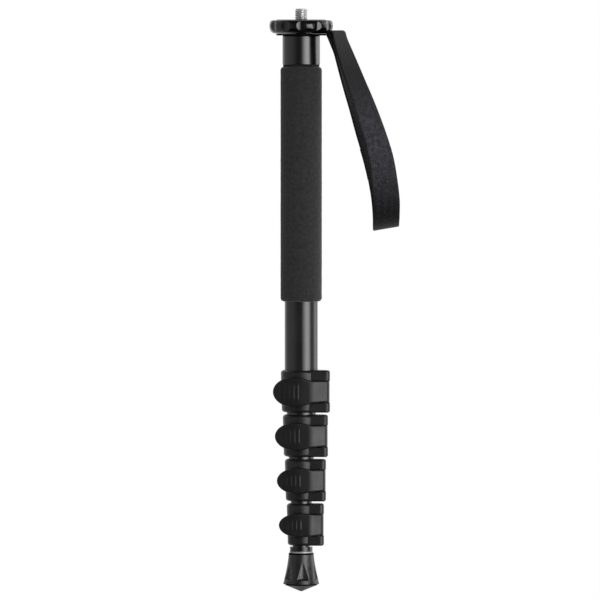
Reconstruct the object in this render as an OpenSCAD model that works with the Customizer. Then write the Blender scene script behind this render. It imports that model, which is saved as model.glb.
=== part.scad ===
// Five-section camera monopod with four flip locks, folded.
// The origin is the centre of the camera platform, with the camera screw along +Z
// and the lock levers facing -Y.

/* [Tubes] */
// Outside diameter of the top tube
top_tube_od = 25; // [22:0.5:30]
// How much narrower each tube is than the one it slides in
tube_step = 3; // [2.9:0.05:3.4]
// Wall of every tube
tube_wall = 1; // [0.8:0.05:1.1]
// Bare length of the top tube between the grip and the first lock
bare_tube = 51.8; // [30:0.1:80]
// Length of the nylon guide sleeve on top of each sliding tube
guide_len = 20; // [12:1:30]
// Thickness of the guide sleeve's lip over the tube's end
guide_lip = 1.2; // [0.8:0.1:2]
// How far each sliding tube's top stays below the one around it
tube_stagger = 6; // [3:0.5:10]

/* [Platform] */
// Diameter of the turning camera platform
disc_d = 48.6; // [44:0.1:56]
// Thickness of the camera platform with its pad
disc_t = 10.6; // [9:0.1:14]
// Finger scallops round the platform's rim
scallop_count = 12; // [8:1:16]
// Radius of the cut that makes a scallop
scallop_r = 8; // [5:0.5:10]
// Depth of a scallop
scallop_depth = 1.6; // [0.6:0.1:2]
// Radius of the rubber pad on the platform
pad_r = 18.5; // [15:0.5:19]
// How far the pad stands above the platform's rim
pad_proud = 0.4; // [0.2:0.1:0.8]
// Thickness of the rubber pad
pad_t = 1.4; // [1:0.1:2]
// Diameter of the camera screw, a 3/8 inch thread
screw_d = 9.525; // [6.35:0.005:9.525]
// Height of the camera screw above the pad
screw_h = 8.2; // [5:0.1:12]

/* [Neck and grip] */
// Diameter of the neck cap above the grip
neck_d = 28.3; // [27.8:0.1:31]
// Height of the neck cap
neck_h = 22.1; // [18:0.1:30]
// How deep the top tube sits in the neck cap
neck_socket = 12.3; // [8:0.1:14]
// Diameter of the foam grip
grip_d = 31.2; // [29:0.2:40]
// Length of the foam grip
grip_len = 177; // [120:0.2:220]
// Height of the narrow lip between the neck cap and the grip
grip_gap = 1.5; // [0.5:0.1:2.5]
// Rounding of the grip's top and bottom edges
grip_round = 2.6; // [1:0.1:2.8]

/* [Strap] */
// Thickness of the plate that holds the strap
plate_t = 1.3; // [1.2:0.1:3]
// Radius of the round part of the strap plate
plate_r = 18.8; // [16:0.2:22]
// Direction of the strap lug, clockwise from +X seen from above
lug_turn = 30; // [20:1:40]
// Distance of the lug's bar from the axis
lug_out = 30.4; // [29:0.2:33]
// Radius of the lug's bar
lug_bar_r = 1.4; // [1.2:0.05:1.6]
// Width of the lug's arms
lug_arm = 2.4; // [1.8:0.1:4]
// Width of the webbing
strap_w = 20; // [16:0.5:22]
// Thickness of the webbing
strap_t = 1.5; // [1.2:0.1:1.8]

/* [Flip locks] */
// Height of a lock collar
lock_h = 31.8; // [29:0.2:36]
// Space between two collars when folded
lock_gap = 1.8; // [1:0.1:4]
// How far a collar stands out from its tube
lock_wall = 2.9; // [2.5:0.1:3.6]
// How much narrower a collar's foot is than its top, per side
lock_taper = 0.7; // [0.2:0.1:1]
// How deep a tube sits in its collar
socket_depth = 9.5; // [7:0.5:12]
// Wall of the nylon liner that grips the inner tube
liner_wall = 0.9; // [0.7:0.05:0.95]
// Height of the upper ear that holds the lever's pin
ear_h = 7.4; // [6:0.1:8]
// How far the ears reach sideways from the tube
ear_out = 9.2; // [8.6:0.1:10.5]
// How far the flat front of the ears lies before the tube
ear_front = 1; // [0.4:0.1:1.6]
// Rounding of the ears' upright corners
ear_corner = 3.1; // [2:0.1:3.6]
// Chamfer round the ears' outer edges
ear_chamfer = 1; // [0.5:0.1:1.6]
// Thickness of the wall that joins the ears behind the knuckle
ear_web = 1.8; // [1.2:0.1:2.4]
// Height of the lever at its hinge
lever_h = 16.6; // [14:0.1:17]
// Thickness of the lever
lever_t = 2.6; // [2:0.1:3]
// How far the lever's lower edge rises towards its knuckle
lever_rise = 1; // [0:0.1:1.5]
// Height of the finger paddle on the largest lock
paddle_h = 22.2; // [21.4:0.2:24]
// How much lower each next lock's paddle is
paddle_step = 1.4; // [1:0.1:1.5]
// How far the paddle's tip reaches sideways from the tube
paddle_out = 9.2; // [7.5:0.1:11]
// Length of the paddle's rounded nose
paddle_nose = 15; // [11:0.5:16]
// Sweep radius of the paddle, seen from above
paddle_bow = 50; // [35:1:80]
// Distance of the lever's bend from the axis, sideways
lever_bend = 7.7; // [6.8:0.1:8.4]
// Radius of the lever's knuckle
knuckle_r = 3.8; // [3.5:0.05:4]
// How far the knuckle's cam presses in when closed
cam_lift = 0.4; // [0.2:0.05:0.6]
// Radius of the lever's pin
pin_r = 1.5; // [1.2:0.05:1.8]
// Grip ribs on a paddle
rib_count = 5; // [3:1:6]
// Spacing of the grip ribs
rib_pitch = 3.25; // [2.4:0.05:3.6]
// Radius of a grip rib
rib_r = 0.9; // [0.6:0.05:1.1]
// How far the ribs end from the paddle's top and bottom
rib_margin = 5; // [4:0.1:6]

/* [Foot] */
// Bare length of the last tube below the last lock
foot_gap = 1.2; // [0.6:0.1:4]
// Diameter of the ring on the foot plug
foot_ring_d = 17.3; // [16:0.1:20]
// Height of the ring on the foot plug
foot_ring_h = 3.4; // [2.6:0.1:5]
// How far the foot plug reaches up inside the last tube
foot_plug_len = 15; // [10:1:25]
// Thickness of the bright washer over the rubber foot
foot_washer_t = 1.1; // [0.8:0.1:2]
// Diameter of the rubber foot at its top
foot_top_d = 19; // [17:0.1:21]
// Diameter of the rubber foot at its rim
foot_rim_d = 27.2; // [24:0.1:32]
// Height of the rubber foot
foot_h = 29.2; // [25:0.1:36]
// Height of the blunt cone below the foot's rim
foot_cone_h = 6; // [4:0.2:8]
// Finger scoops round the rubber foot
scoop_count = 6; // [4:1:7]
// Half width of a scoop at its wide end
scoop_r = 5.2; // [4:0.1:5.6]
// Length of a scoop
scoop_len = 12.8; // [8:0.1:14]
// Radius of the stud that holds the rubber foot
stud_r = 3; // [2.5:0.1:3.5]

/* [Clearances] */
// Radial clearance of a glued or pressed seat
seat_clear = 0.05; // [0.02:0.01:0.08]
// Radial clearance of a running or sliding fit
run_clear = 0.08; // [0.04:0.01:0.1]
// Space between faces that turn past each other
turn_gap = 0.1; // [0.05:0.05:0.3]
// Space left before a sliding tube meets its stop
end_clear = 0.5; // [0.3:0.1:2]
// Open space round a moving lever
lever_clear = 0.4; // [0.3:0.05:0.6]

/* [Hidden] */
$fn = 64;
small = 0.01;
tube_count = 5;
lock_count = tube_count - 1;

// Diameters of tube i, counted from the top
function tube_od(i) = top_tube_od - (i - 1) * tube_step;
function tube_bore(i) = tube_od(i) - 2 * tube_wall;

// Levels down the upper body
disc_low = -disc_t;
plate_high = disc_low - turn_gap;
neck_high = plate_high - plate_t;
neck_low = neck_high - neck_h;
top_tube_high = neck_low + neck_socket;
grip_high = neck_low - grip_gap;
grip_low = grip_high - grip_len;

// The head bolt: hex collar in the platform, shank through the neck, nut below
hex_r = 7.5;
hex_t = 3;
hex_high = -pad_t;
shank_r = 4;
nut_pocket = 4;
nut_r = 7;
nut_h = 6;
nut_room = 1;
pocket_high = top_tube_high + nut_pocket;
pivot_washer_t = 1;
nut_high = pocket_high - pivot_washer_t - turn_gap;
bolt_end = 1.5;
bolt_low = nut_high - nut_h - bolt_end;
thread_relief = 0.5;
thread_chamfer = 0.8;
spigot_r = 9;

// Edges of the head
rim_round_low = 3.2;
rim_round_high = 2;
neck_edge = 0.7;
neck_step = 0.4;

// Levels down the sliding tubes and locks
inner_room = 3;
function lock_high(i) = grip_low - bare_tube - (i - 1) * (lock_h + lock_gap);
function lock_low(i) = lock_high(i) - lock_h;
function lock_floor(i) = lock_high(i) - socket_depth;
foot_high = lock_low(lock_count) - foot_gap;
function tube_high(i) =
    i == 1 ? top_tube_high : bolt_low - inner_room - guide_lip - (i - 2) * tube_stagger;
function tube_low(i) = i == tube_count ? foot_high : lock_floor(i);
function travel(i) = tube_high(i) - guide_len - lock_floor(i - 1) - end_clear;

// Lock sizes around tube i
function collar_r(i) = tube_od(i) / 2 + lock_wall;
function liner_in(i) = tube_od(i + 1) / 2 + run_clear;
function liner_out(i) = liner_in(i) + liner_wall;
function front_y(i) = -(tube_od(i) / 2 + ear_front);
function reach_x(i) = tube_od(i) / 2 + ear_out;
ear_r = knuckle_r + lever_clear;
function pin_at(i) = [reach_x(i) - ear_r, front_y(i) + ear_r];
function pin_out(i) = norm(pin_at(i));
function pin_angle(i) = atan2(pin_at(i)[1], pin_at(i)[0]);
lever_band = lever_h + 2 * lever_clear;
function lever_mid(i) = lock_high(i) - ear_h - lever_band / 2;
function pad_out(i) = pin_out(i) - knuckle_r - cam_lift - turn_gap;
pad_w = 5;
pad_h = lever_h - 4;
pad_clear = 0.2;
slit_w = 0.6;
collar_round_low = 2.2;
collar_round_high = 2.4;
pin_inset = 1;
rib_place = 0.42;
web_off = ear_r + cam_lift + lever_clear;

// The lever, seen from above: a flat front before the collar, swept back to the paddle's
// tip on its left and bent to a straight panel on its right, which ends round a nose
// before the pin. Angles turn from -Y towards +X.
hug_clear = 0.35;
sweep_x = 1;
bend_half = 2.6;
nose_fwd = 1.8;
function hug_r(i) = collar_r(i) + hug_clear + lever_t;
function ray(a) = [sin(a), -cos(a)];
function arc(centre, r, a, b, steps = 8) =
    [for (s = [0:1 / steps:1]) centre + r * ray(a + s * (b - a))];
function nose_at(i) = pin_at(i) + nose_fwd * ray(0);
function panel_angle(i) =
    let (d = nose_at(i) - [lever_bend, -hug_r(i)])
    atan2(d[1], d[0]) - asin(knuckle_r / norm(d));
function bend_r(i) = bend_half / tan(panel_angle(i) / 2);
function bend_centre(i) = [lever_bend - bend_half, bend_r(i) - hug_r(i)];
function paddle_half(i) = (paddle_h - (i - 1) * paddle_step) / 2;
function tip_x(i) = tube_od(i) / 2 + paddle_out;
function bow_centre(i) = [sweep_x, paddle_bow - hug_r(i)];
function bow_turn(x) = asin((x - sweep_x) / paddle_bow);
function cam_turn(i) = pin_angle(i) - 90;
function cam_r(i, b) = knuckle_r + cam_lift * pow(max(0, cos(b - cam_turn(i))), 2);
knuckle_steps = 24;
tip_margin = 1;
function rib_angle(i, k) =
    bow_turn(-rib_place * tip_x(i)) + (k - (rib_count - 1) / 2) * rib_pitch / paddle_bow * 180 / PI;

// Levels and cuts of the foot
foot_top = foot_high - foot_ring_h - foot_washer_t;
groove_w = 0.5;
groove_depth = 0.5;
stud_grip = 8;
stud_reach = 13;
stud_high = foot_top + foot_washer_t + stud_grip;
stud_low = foot_top - stud_reach;
top_lip = 0.8;
flare_power = 1.4;
rim_turn = 1.2;
tip_r = 2;
tip_round = 0.6;
scoop_turn = -83;
scoop_depth = 2.4;
scoop_cut_r = (scoop_r * scoop_r + scoop_depth * scoop_depth) / (2 * scoop_depth);
scoop_up = 5.4;
rim_z = foot_top - foot_h + foot_cone_h;
flare_high = foot_top - top_lip;
function skirt_r(z) =
    let (s = (flare_high - z) / (flare_high - rim_z))
    (foot_top_d + (foot_rim_d - foot_top_d) * pow(s, flare_power)) / 2;
scoop_low = rim_z + scoop_up;
scoop_out = skirt_r(scoop_low) + scoop_cut_r - scoop_depth;
scoop_run_out = 0.25;
scoop_lean = atan((scoop_out - skirt_r(scoop_low + scoop_len) - scoop_run_out) / scoop_len);

// The wrist strap's route, held open: [x, y, z, turn of its width from +X, rise of its width]
lug_dir = [cos(lug_turn), -sin(lug_turn), 0];
lug_side = [sin(lug_turn), cos(lug_turn), 0];
bar_z = plate_high - plate_t / 2;
bar_at = lug_dir * lug_out + [0, 0, bar_z];
strap_clear = 0.4;
fold_r = lug_bar_r + strap_clear + strap_t / 2;
slot_w = strap_w + 2 * strap_clear;
lug_w = slot_w + 2 * lug_arm;
slot_in = lug_out - fold_r - strap_t / 2 - 2 * strap_clear;
width_turn = 90 - lug_turn;
fold_points = [for (a = [180:-30:0])
    let (p = bar_at + fold_r * (cos(a) * lug_dir + [0, 0, sin(a)])) concat(p, [width_turn, 0])];
front_points = [
    [29.7, -17, -16, 58, 0], [31.7, -17.5, -22, 54, 0], [34.6, -18, -30, 50, 0],
    [40.2, -19, -45, 43, 0], [46.1, -21, -60, 38, 0], [51.9, -23, -76, 33, 0],
    [56.8, -25, -91, 29, 0], [60.7, -26, -106, 24, 0], [62.8, -27, -121, 17, 0],
    [64.2, -25, -136, 8, 0.04], [64.2, -20, -147, 3, 0.1], [64, -12, -154, 0, 0.15]];
bottom_points = [[64, -2, -157, 0, 0.17]];
back_points = [
    [64, 8, -155, 0, 0.15], [64, 17, -148, 3, 0.1], [63, 23, -136, 8, 0.04],
    [60.3, 24, -121, 17, 0], [56.6, 21, -106, 25, 0], [52.1, 16, -91, 30, 0],
    [47.1, 9, -76, 38, 0], [41.5, 2, -60, 48, 0], [36.3, -5, -45, 54, 0],
    [31.4, -11, -30, 59, 0], [28.8, -13, -22, 60, 0], [26.1, -14.5, -16, 60, 0]];
strap_route = concat(fold_points, front_points, bottom_points, back_points);

// Nodes
lock_parts = ["collar", "liner", "lever", "pin"];

// Shared shapes

// Half section of a round wall with rounded outer edges, to be revolved
module wall_section(r_in, r_low, r_high, z_low, z_high, round_low, round_high) {
    translate([r_in, z_low])
        square([r_low - round_low - r_in, round_low + small]);
    translate([r_in, z_high - round_high - small])
        square([r_high - round_high - r_in, round_high + small]);
    polygon([
        [r_in, z_low + round_low], [r_low, z_low + round_low],
        [r_high, z_high - round_high], [r_in, z_high - round_high]]);
    translate([r_low - round_low, z_low + round_low])
        rounded_corner(round_low, -1);
    translate([r_high - round_high, z_high - round_high])
        rounded_corner(round_high, 1);
}

// Quarter disc that fills an outer corner, above or below its centre
module rounded_corner(r, way) {
    intersection() {
        circle(r);
        translate([-small, way > 0 ? -small : -r])
            square(r + small);
    }
}

// Straight round wall between two levels
module ring(r_in, r_out, z_low, z_high) {
    translate([0, 0, z_low])
        difference() {
            cylinder(h = z_high - z_low, r = r_out);
            translate([0, 0, -1])
                cylinder(h = z_high - z_low + 2, r = r_in);
        }
}

// Upright cylinder between two levels
module post(r, z_low, z_high) {
    translate([0, 0, z_low])
        cylinder(h = z_high - z_low, r = r);
}

// Loop of webbing swept along a closed route of [x, y, z, width turn, width rise]
function unit(v) = v / norm(v);
function spot(route, i) = let (p = route[i % len(route)]) [p[0], p[1], p[2]];
module webbing_loop(route, w, t) {
    n = len(route);
    corners = [[-1, -1], [1, -1], [1, 1], [-1, 1]];
    points = [for (i = [0:n - 1])
        let (along = unit(spot(route, i + 1) - spot(route, i + n - 1)),
             turn = route[i][3],
             face = unit(cross(along, [cos(turn), sin(turn), route[i][4]])),
             side = cross(face, along))
        for (c = corners) spot(route, i) + side * c[0] * w / 2 + face * c[1] * t / 2];
    faces = [for (i = [0:n - 1]) for (k = [0:3])
        let (a = 4 * i + k,
             b = 4 * i + (k + 1) % 4,
             d = 4 * ((i + 1) % n))
        each [[a, d + k, b], [b, d + k, d + (k + 1) % 4]]];
    polyhedron(points, faces);
}

// Head

module rubber_pad() {
    color("#1c1c1c")
        ring(screw_d / 2 + 2 * run_clear, pad_r, -pad_t, 0);
}

module camera_screw() {
    color("#b8babd") {
        post(screw_d / 2, 0, screw_h - thread_chamfer);
        translate([0, 0, screw_h - thread_chamfer])
            cylinder(h = thread_chamfer, r1 = screw_d / 2, r2 = screw_d / 2 - thread_chamfer);
        post(screw_d / 2 - thread_relief, hex_high - small, small);
        translate([0, 0, hex_high - hex_t])
            cylinder(h = hex_t, r = hex_r, $fn = 6);
        post(shank_r, bolt_low, hex_high - hex_t + small);
    }
}

module platform_disc() {
    color("#141414")
        difference() {
            rotate_extrude($fn = 128)
                wall_section(0, disc_d / 2, disc_d / 2, disc_low, -pad_proud, rim_round_low, rim_round_high);
            post(pad_r + seat_clear, -pad_t, 1);
            translate([0, 0, hex_high - hex_t])
                cylinder(h = hex_t + 1, r = hex_r + seat_clear, $fn = 6);
            post(shank_r + seat_clear, disc_low - 1, 0);
            for (k = [0:scallop_count - 1])
                rotate(k * 360 / scallop_count)
                    translate([disc_d / 2 + scallop_r - scallop_depth, 0, 0])
                        post(scallop_r, disc_low - 1, 1);
        }
}

module pivot_washer() {
    color("#8d8f92")
        ring(shank_r + run_clear, nut_r, pocket_high - pivot_washer_t, pocket_high);
}

module pivot_nut() {
    color("#8d8f92")
        difference() {
            translate([0, 0, nut_high - nut_h])
                cylinder(h = nut_h, r = nut_r, $fn = 6);
            post(shank_r + seat_clear, nut_high - nut_h - 1, nut_high + 1);
        }
}

// Neck, grip and strap

module neck_cap() {
    color("#161616")
        difference() {
            union() {
                rotate_extrude($fn = 128)
                    wall_section(0, neck_d / 2, neck_d / 2, neck_low, neck_high, neck_edge, neck_edge);
                post(neck_d / 2 - neck_step, grip_high + seat_clear, neck_low + neck_edge);
                post(spigot_r, neck_high - small, plate_high);
            }
            post(tube_od(1) / 2 + seat_clear, grip_high - 1, top_tube_high);
            post(nut_r + nut_room, top_tube_high - small, pocket_high);
            post(shank_r + run_clear, pocket_high - 1, plate_high + 1);
        }
}

module strap_plate() {
    color("#202020")
        rotate(-lug_turn) {
            translate([0, 0, neck_high])
                linear_extrude(plate_t)
                    difference() {
                        union() {
                            circle(plate_r);
                            translate([0, -lug_w / 2])
                                square([lug_out, lug_w]);
                        }
                        translate([slot_in, -slot_w / 2])
                            square([lug_out, slot_w]);
                        circle(spigot_r + seat_clear);
                    }
            translate([lug_out, lug_w / 2, bar_z])
                rotate([90, 0, 0])
                    cylinder(h = lug_w, r = lug_bar_r);
        }
}

module wrist_strap() {
    color("#26252a")
        webbing_loop(strap_route, strap_w, strap_t);
}

module foam_grip() {
    color("#2b2b2b")
        rotate_extrude($fn = 128)
            wall_section(
                tube_od(1) / 2 + seat_clear, grip_d / 2, grip_d / 2,
                grip_low, grip_high, grip_round, grip_round);
}

// Tubes and their guides

module tube(i) {
    color("#303033")
        ring(tube_bore(i) / 2, tube_od(i) / 2, tube_low(i), tube_high(i));
}

module guide_sleeve(i) {
    outer = tube_bore(i - 1) / 2 - run_clear;
    color("#d8d6cf") {
        ring(tube_od(i) / 2 + seat_clear, outer, tube_high(i) - guide_len, tube_high(i) + small);
        ring(tube_bore(i) / 2, outer, tube_high(i), tube_high(i) + guide_lip);
    }
}

// Flip locks

// Block of the two ears and the wall behind them, with chamfered ends
module ear_block(i) {
    k = ear_corner;
    spots = [
        [reach_x(i) - k, front_y(i) + k, k],
        [reach_x(i) - k, pin_at(i)[1] + web_off + ear_web - k, k],
        [0, 0, -front_y(i)]];
    hull()
        for (s = spots)
            translate([s[0], s[1], lock_low(i)]) {
                translate([0, 0, ear_chamfer])
                    cylinder(h = lock_h - 2 * ear_chamfer, r = s[2], $fn = 32);
                cylinder(h = lock_h, r = s[2] - ear_chamfer, $fn = 32);
            }
}

module lock_collar(i) {
    pin = pin_at(i);
    band_low = lever_mid(i) - lever_band / 2;
    band_high = lever_mid(i) + lever_band / 2;
    color("#1e1e1f")
        difference() {
            union() {
                rotate_extrude($fn = 128)
                    wall_section(
                        0, collar_r(i) - lock_taper, collar_r(i),
                        lock_low(i), lock_high(i), collar_round_low, collar_round_high);
                difference() {
                    ear_block(i);
                    translate([-reach_x(i), pin[1] + web_off - 2 * reach_x(i), band_low])
                        cube([3 * reach_x(i), 2 * reach_x(i), lever_band]);
                }
            }
            post(tube_od(i) / 2 + seat_clear, lock_floor(i), lock_high(i) + 1);
            post(liner_out(i) + seat_clear, lock_low(i) - 1, lock_high(i));
            translate(pin) {
                post(pin_r + seat_clear, lock_low(i) - 1, lock_high(i) + 1);
                post(ear_r + cam_lift, band_low, band_high);
            }
            rotate(pin_angle(i))
                translate([0, -pad_w / 2 - pad_clear, lever_mid(i) - pad_h / 2 - pad_clear])
                    cube([pin_out(i), pad_w + 2 * pad_clear, pad_h + 2 * pad_clear]);
        }
}

module lock_liner(i) {
    pad_top = lever_mid(i) + pad_h / 2;
    root = liner_in(i) + liner_wall / 2;
    color("#3a3a3a")
        difference() {
            union() {
                ring(liner_in(i), liner_out(i), lock_low(i), lock_floor(i));
                rotate(pin_angle(i))
                    translate([root, -pad_w / 2, pad_top - pad_h])
                        cube([pad_out(i) - root, pad_w, pad_h]);
            }
            rotate(pin_angle(i))
                for (s = [-1, 1])
                    translate([liner_in(i) - 2, s * (pad_w + slit_w) / 2 - slit_w / 2, lock_low(i) - 1])
                        cube([liner_wall + 3, slit_w, pad_top - lock_low(i) + 1]);
        }
}

// Lever outline seen from above: outer side to the tip, inner side back, round the cam
module lever_plan(i) {
    a = panel_angle(i);
    tip = bow_turn(-tip_x(i)) - tip_margin;
    inner = knuckle_r + nose_fwd * cos(a) - lever_t;
    meet = a - 90 + asin(inner / knuckle_r);
    polygon(concat(
        arc(nose_at(i), knuckle_r, 90, a),
        arc(bend_centre(i), bend_r(i), a, 0),
        arc(bow_centre(i), paddle_bow, 0, tip),
        arc(bow_centre(i), paddle_bow - lever_t, tip, 0),
        arc(bend_centre(i), bend_r(i) - lever_t, 0, a),
        [for (s = [0:1 / knuckle_steps:1])
            let (b = meet + s * (-270 - meet))
            pin_at(i) + cam_r(i, b) * ray(b)]));
}

// Lever outline seen from the front, round its mid height: a leaf-shaped paddle, drawn
// in to the hinge's height where the panel bends
module lever_face(i) {
    half = paddle_half(i);
    centre = paddle_nose - tip_x(i);
    right = reach_x(i) + 1;
    ease = acos(lever_h / 2 / half);
    neck = [for (s = [0:0.25:1])
        [centre + (lever_bend - centre) * sin(s * ease) / sin(ease), half * cos(s * ease)]];
    polygon(concat(
        [for (t = [80:-10:-80]) [centre - paddle_nose * cos(t), half * sin(t)]],
        [for (p = neck) [p[0], -p[1]]],
        [[right, lever_rise - lever_h / 2], [right, lever_h / 2]],
        [for (k = [len(neck) - 1:-1:0]) neck[k]]));
}

module lock_lever(i) {
    color("#242425")
        translate([0, 0, lever_mid(i)])
            difference() {
                union() {
                    intersection() {
                        translate([0, 0, -paddle_h])
                            linear_extrude(2 * paddle_h)
                                lever_plan(i);
                        rotate([90, 0, 0])
                            linear_extrude(4 * collar_r(i), center = true)
                                lever_face(i);
                    }
                    for (k = [0:rib_count - 1])
                        translate(bow_centre(i) + (paddle_bow - rib_r / 2) * ray(rib_angle(i, k)))
                            post(rib_r, rib_margin - paddle_half(i), paddle_half(i) - rib_margin);
                }
                translate(pin_at(i))
                    post(pin_r + run_clear, -lever_h, lever_h);
            }
}

module lock_pin(i) {
    color("#9a9c9f")
        translate(pin_at(i))
            post(pin_r, lock_low(i) + pin_inset, lock_high(i) - pin_inset);
}

// Foot

module foot_plug() {
    ring_low = foot_high - foot_ring_h;
    color("#1d1d1e")
        difference() {
            union() {
                post(tube_bore(tube_count) / 2 - seat_clear, foot_high - small, foot_high + foot_plug_len);
                post(foot_ring_d / 2, ring_low, foot_high);
            }
            ring(
                foot_ring_d / 2 - groove_depth, foot_ring_d,
                ring_low + foot_ring_h / 2 - groove_w / 2, ring_low + foot_ring_h / 2 + groove_w / 2);
            post(stud_r + seat_clear, ring_low - 1, stud_high);
        }
}

module foot_stud() {
    color("#a5a7aa")
        post(stud_r, stud_low, stud_high);
}

module foot_washer() {
    color("#c9cbce")
        ring(stud_r + seat_clear, foot_ring_d / 2, foot_top, foot_top + foot_washer_t);
}

module rubber_foot() {
    top_r = foot_top_d / 2;
    rim_r = foot_rim_d / 2;
    flare = [for (s = [0:0.125:1])
        let (z = flare_high + s * (rim_z - flare_high))
        [skirt_r(z), z]];
    under = [
        [rim_r - rim_turn, rim_z - rim_turn], [tip_r, rim_z - foot_cone_h + tip_round],
        [0, rim_z - foot_cone_h]];
    color("#2a2a2b")
        difference() {
            rotate_extrude($fn = 96)
                polygon(concat([[0, foot_top], [top_r - top_lip, foot_top]], flare, under));
            post(stud_r + seat_clear, stud_low, foot_top + 1);
            for (k = [0:scoop_count - 1])
                rotate(scoop_turn + k * 360 / scoop_count)
                    translate([scoop_out, 0, scoop_low])
                        rotate([0, -scoop_lean, 0])
                            cylinder(h = scoop_len / cos(scoop_lean), r1 = scoop_cut_r, r2 = 0);
        }
}

rubber_pad();
camera_screw();
platform_disc();
pivot_washer();
pivot_nut();
strap_plate();
wrist_strap();
neck_cap();
foam_grip();
for (i = [1:tube_count])
    tube(i);
for (i = [2:tube_count])
    guide_sleeve(i);
for (i = [1:lock_count])
    lock_collar(i);
for (i = [1:lock_count])
    lock_liner(i);
for (i = [1:lock_count])
    lock_lever(i);
for (i = [1:lock_count])
    lock_pin(i);
foot_plug();
foot_stud();
foot_washer();
rubber_foot();
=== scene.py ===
import math

import bmesh
import bpy
import numpy as np
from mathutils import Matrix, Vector, noise


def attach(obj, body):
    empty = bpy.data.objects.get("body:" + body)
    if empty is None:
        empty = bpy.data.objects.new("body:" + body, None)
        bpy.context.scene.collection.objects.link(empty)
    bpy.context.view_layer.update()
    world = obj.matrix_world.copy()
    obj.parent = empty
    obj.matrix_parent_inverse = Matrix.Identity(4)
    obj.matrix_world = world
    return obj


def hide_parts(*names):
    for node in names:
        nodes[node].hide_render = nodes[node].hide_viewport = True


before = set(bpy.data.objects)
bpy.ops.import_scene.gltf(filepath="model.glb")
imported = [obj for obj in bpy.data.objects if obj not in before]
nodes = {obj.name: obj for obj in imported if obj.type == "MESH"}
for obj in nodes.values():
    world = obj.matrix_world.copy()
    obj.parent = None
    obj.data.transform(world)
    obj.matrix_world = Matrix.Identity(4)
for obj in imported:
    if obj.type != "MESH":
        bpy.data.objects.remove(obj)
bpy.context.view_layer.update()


# Tubes
# Five aluminium tubes, drawn to size and anodised black. Each slides in the one
# above it. The draw marks run along the tube and show as fine streaks in the gloss.
MM = 0.001
TUBE_COUNT = 5


def add_node(tree, kind, inputs=None, **settings):
    """A shader node with its settings, and its inputs set or linked."""
    node = tree.nodes.new("ShaderNode" + kind)
    for key, value in settings.items():
        setattr(node, key, value)
    for key, value in (inputs or {}).items():
        if isinstance(value, bpy.types.NodeSocket):
            tree.links.new(value, node.inputs[key])
        else:
            node.inputs[key].default_value = value
    return node


def object_place(tree):
    """The shaded point, in metres in its piece's own frame."""
    return add_node(tree, "TexCoord").outputs["Object"]


def effect_group(name, inputs, output):
    """An empty node group with {input name: default} and one varying output."""
    group = bpy.data.node_groups.new(name, "ShaderNodeTree")
    for label, value in inputs.items():
        kind = "NodeSocketFloat" if isinstance(value, (int, float)) else "NodeSocketVector"
        socket = group.interface.new_socket(label, in_out="INPUT", socket_type=kind)
        socket.default_value = value
    group.interface.new_socket(output, in_out="OUTPUT", socket_type="NodeSocketFloat")
    entry = group.nodes.new("NodeGroupInput")
    leave = group.nodes.new("NodeGroupOutput")
    return group, entry, leave


def new_finish(name, colour, roughness, **sockets):
    """A material with its even values set on the Principled shader's own sockets."""
    finish = bpy.data.materials.new(name)
    finish.use_nodes = True
    skin = finish.node_tree.nodes["Principled BSDF"]
    skin.inputs["Base Color"].default_value = (*colour, 1)
    skin.inputs["Roughness"].default_value = roughness
    for label, value in sockets.items():
        skin.inputs[label.replace("_", " ")].default_value = value
    return finish


def place_effect(finish, group, **inputs):
    """The varying output of an effect group, placed in a material."""
    return add_node(finish.node_tree, "Group", inputs, node_tree=group).outputs[0]


def ramp(tree, value, low=0.0, high=1.0, to_low=0.0, to_high=1.0):
    """A value stretched so that low to high becomes to_low to to_high, and held beyond."""
    ends = {"From Min": low, "From Max": high, "To Min": to_low, "To Max": to_high}
    return add_node(tree, "MapRange", {"Value": value, **ends}).outputs["Result"]


def feed(finish, socket, value):
    """Links a varying value to one socket of the finish's Principled shader."""
    tree = finish.node_tree
    tree.links.new(value, tree.nodes["Principled BSDF"].inputs[socket])


def vary(finish, socket, mask, low, high):
    """Moves one value of the finish between low and high as the mask goes from 0 to 1."""
    feed(finish, socket, ramp(finish.node_tree, mask, to_low=low, to_high=high))


def tint(finish, mask, dark, light):
    """Moves the colour of the finish from dark to light with the mask."""
    ends = {0: mask, 6: (*dark, 1), 7: (*light, 1)}
    feed(finish, "Base Color", add_node(finish.node_tree, "Mix", ends, data_type="RGBA").outputs[2])


def emboss(finish, height, depth):
    """Raises the surface by depth, in metres, over any relief it already has."""
    relief = {"Height": height, "Distance": depth}
    below = finish.node_tree.nodes["Principled BSDF"].inputs["Normal"].links
    if below:
        relief["Normal"] = below[0].from_socket
    feed(finish, "Normal", add_node(finish.node_tree, "Bump", relief).outputs["Normal"])


def spread_noise(group, leave, low, high, inputs):
    """Ends an effect group with noise, spread over 0 to 1 between its low and high values."""
    cloud = add_node(group, "TexNoise", inputs)
    group.links.new(ramp(group, cloud.outputs[0], low, high), leave.inputs[0])
    return group


def streaks_group():
    """Noise drawn out by Stretch, in repeats per metre along each axis."""
    group, entry, leave = effect_group("streaks", {"Stretch": (100, 100, 100)}, "Streak")
    drawn = add_node(
        group, "VectorMath", {0: object_place(group), 1: entry.outputs["Stretch"]},
        operation="MULTIPLY")
    return spread_noise(
        group, leave, 0.3, 0.7, {"Vector": drawn.outputs[0], "Scale": 1.0, "Detail": 3.0})


def cloud_group(name, output, scale, low, high, **settings):
    """Noise the same in every direction, Scale per metre."""
    group, entry, leave = effect_group(name, {"Scale": scale}, output)
    return spread_noise(group, leave, low, high, {
        "Vector": object_place(group), "Scale": entry.outputs["Scale"], **settings})


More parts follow.
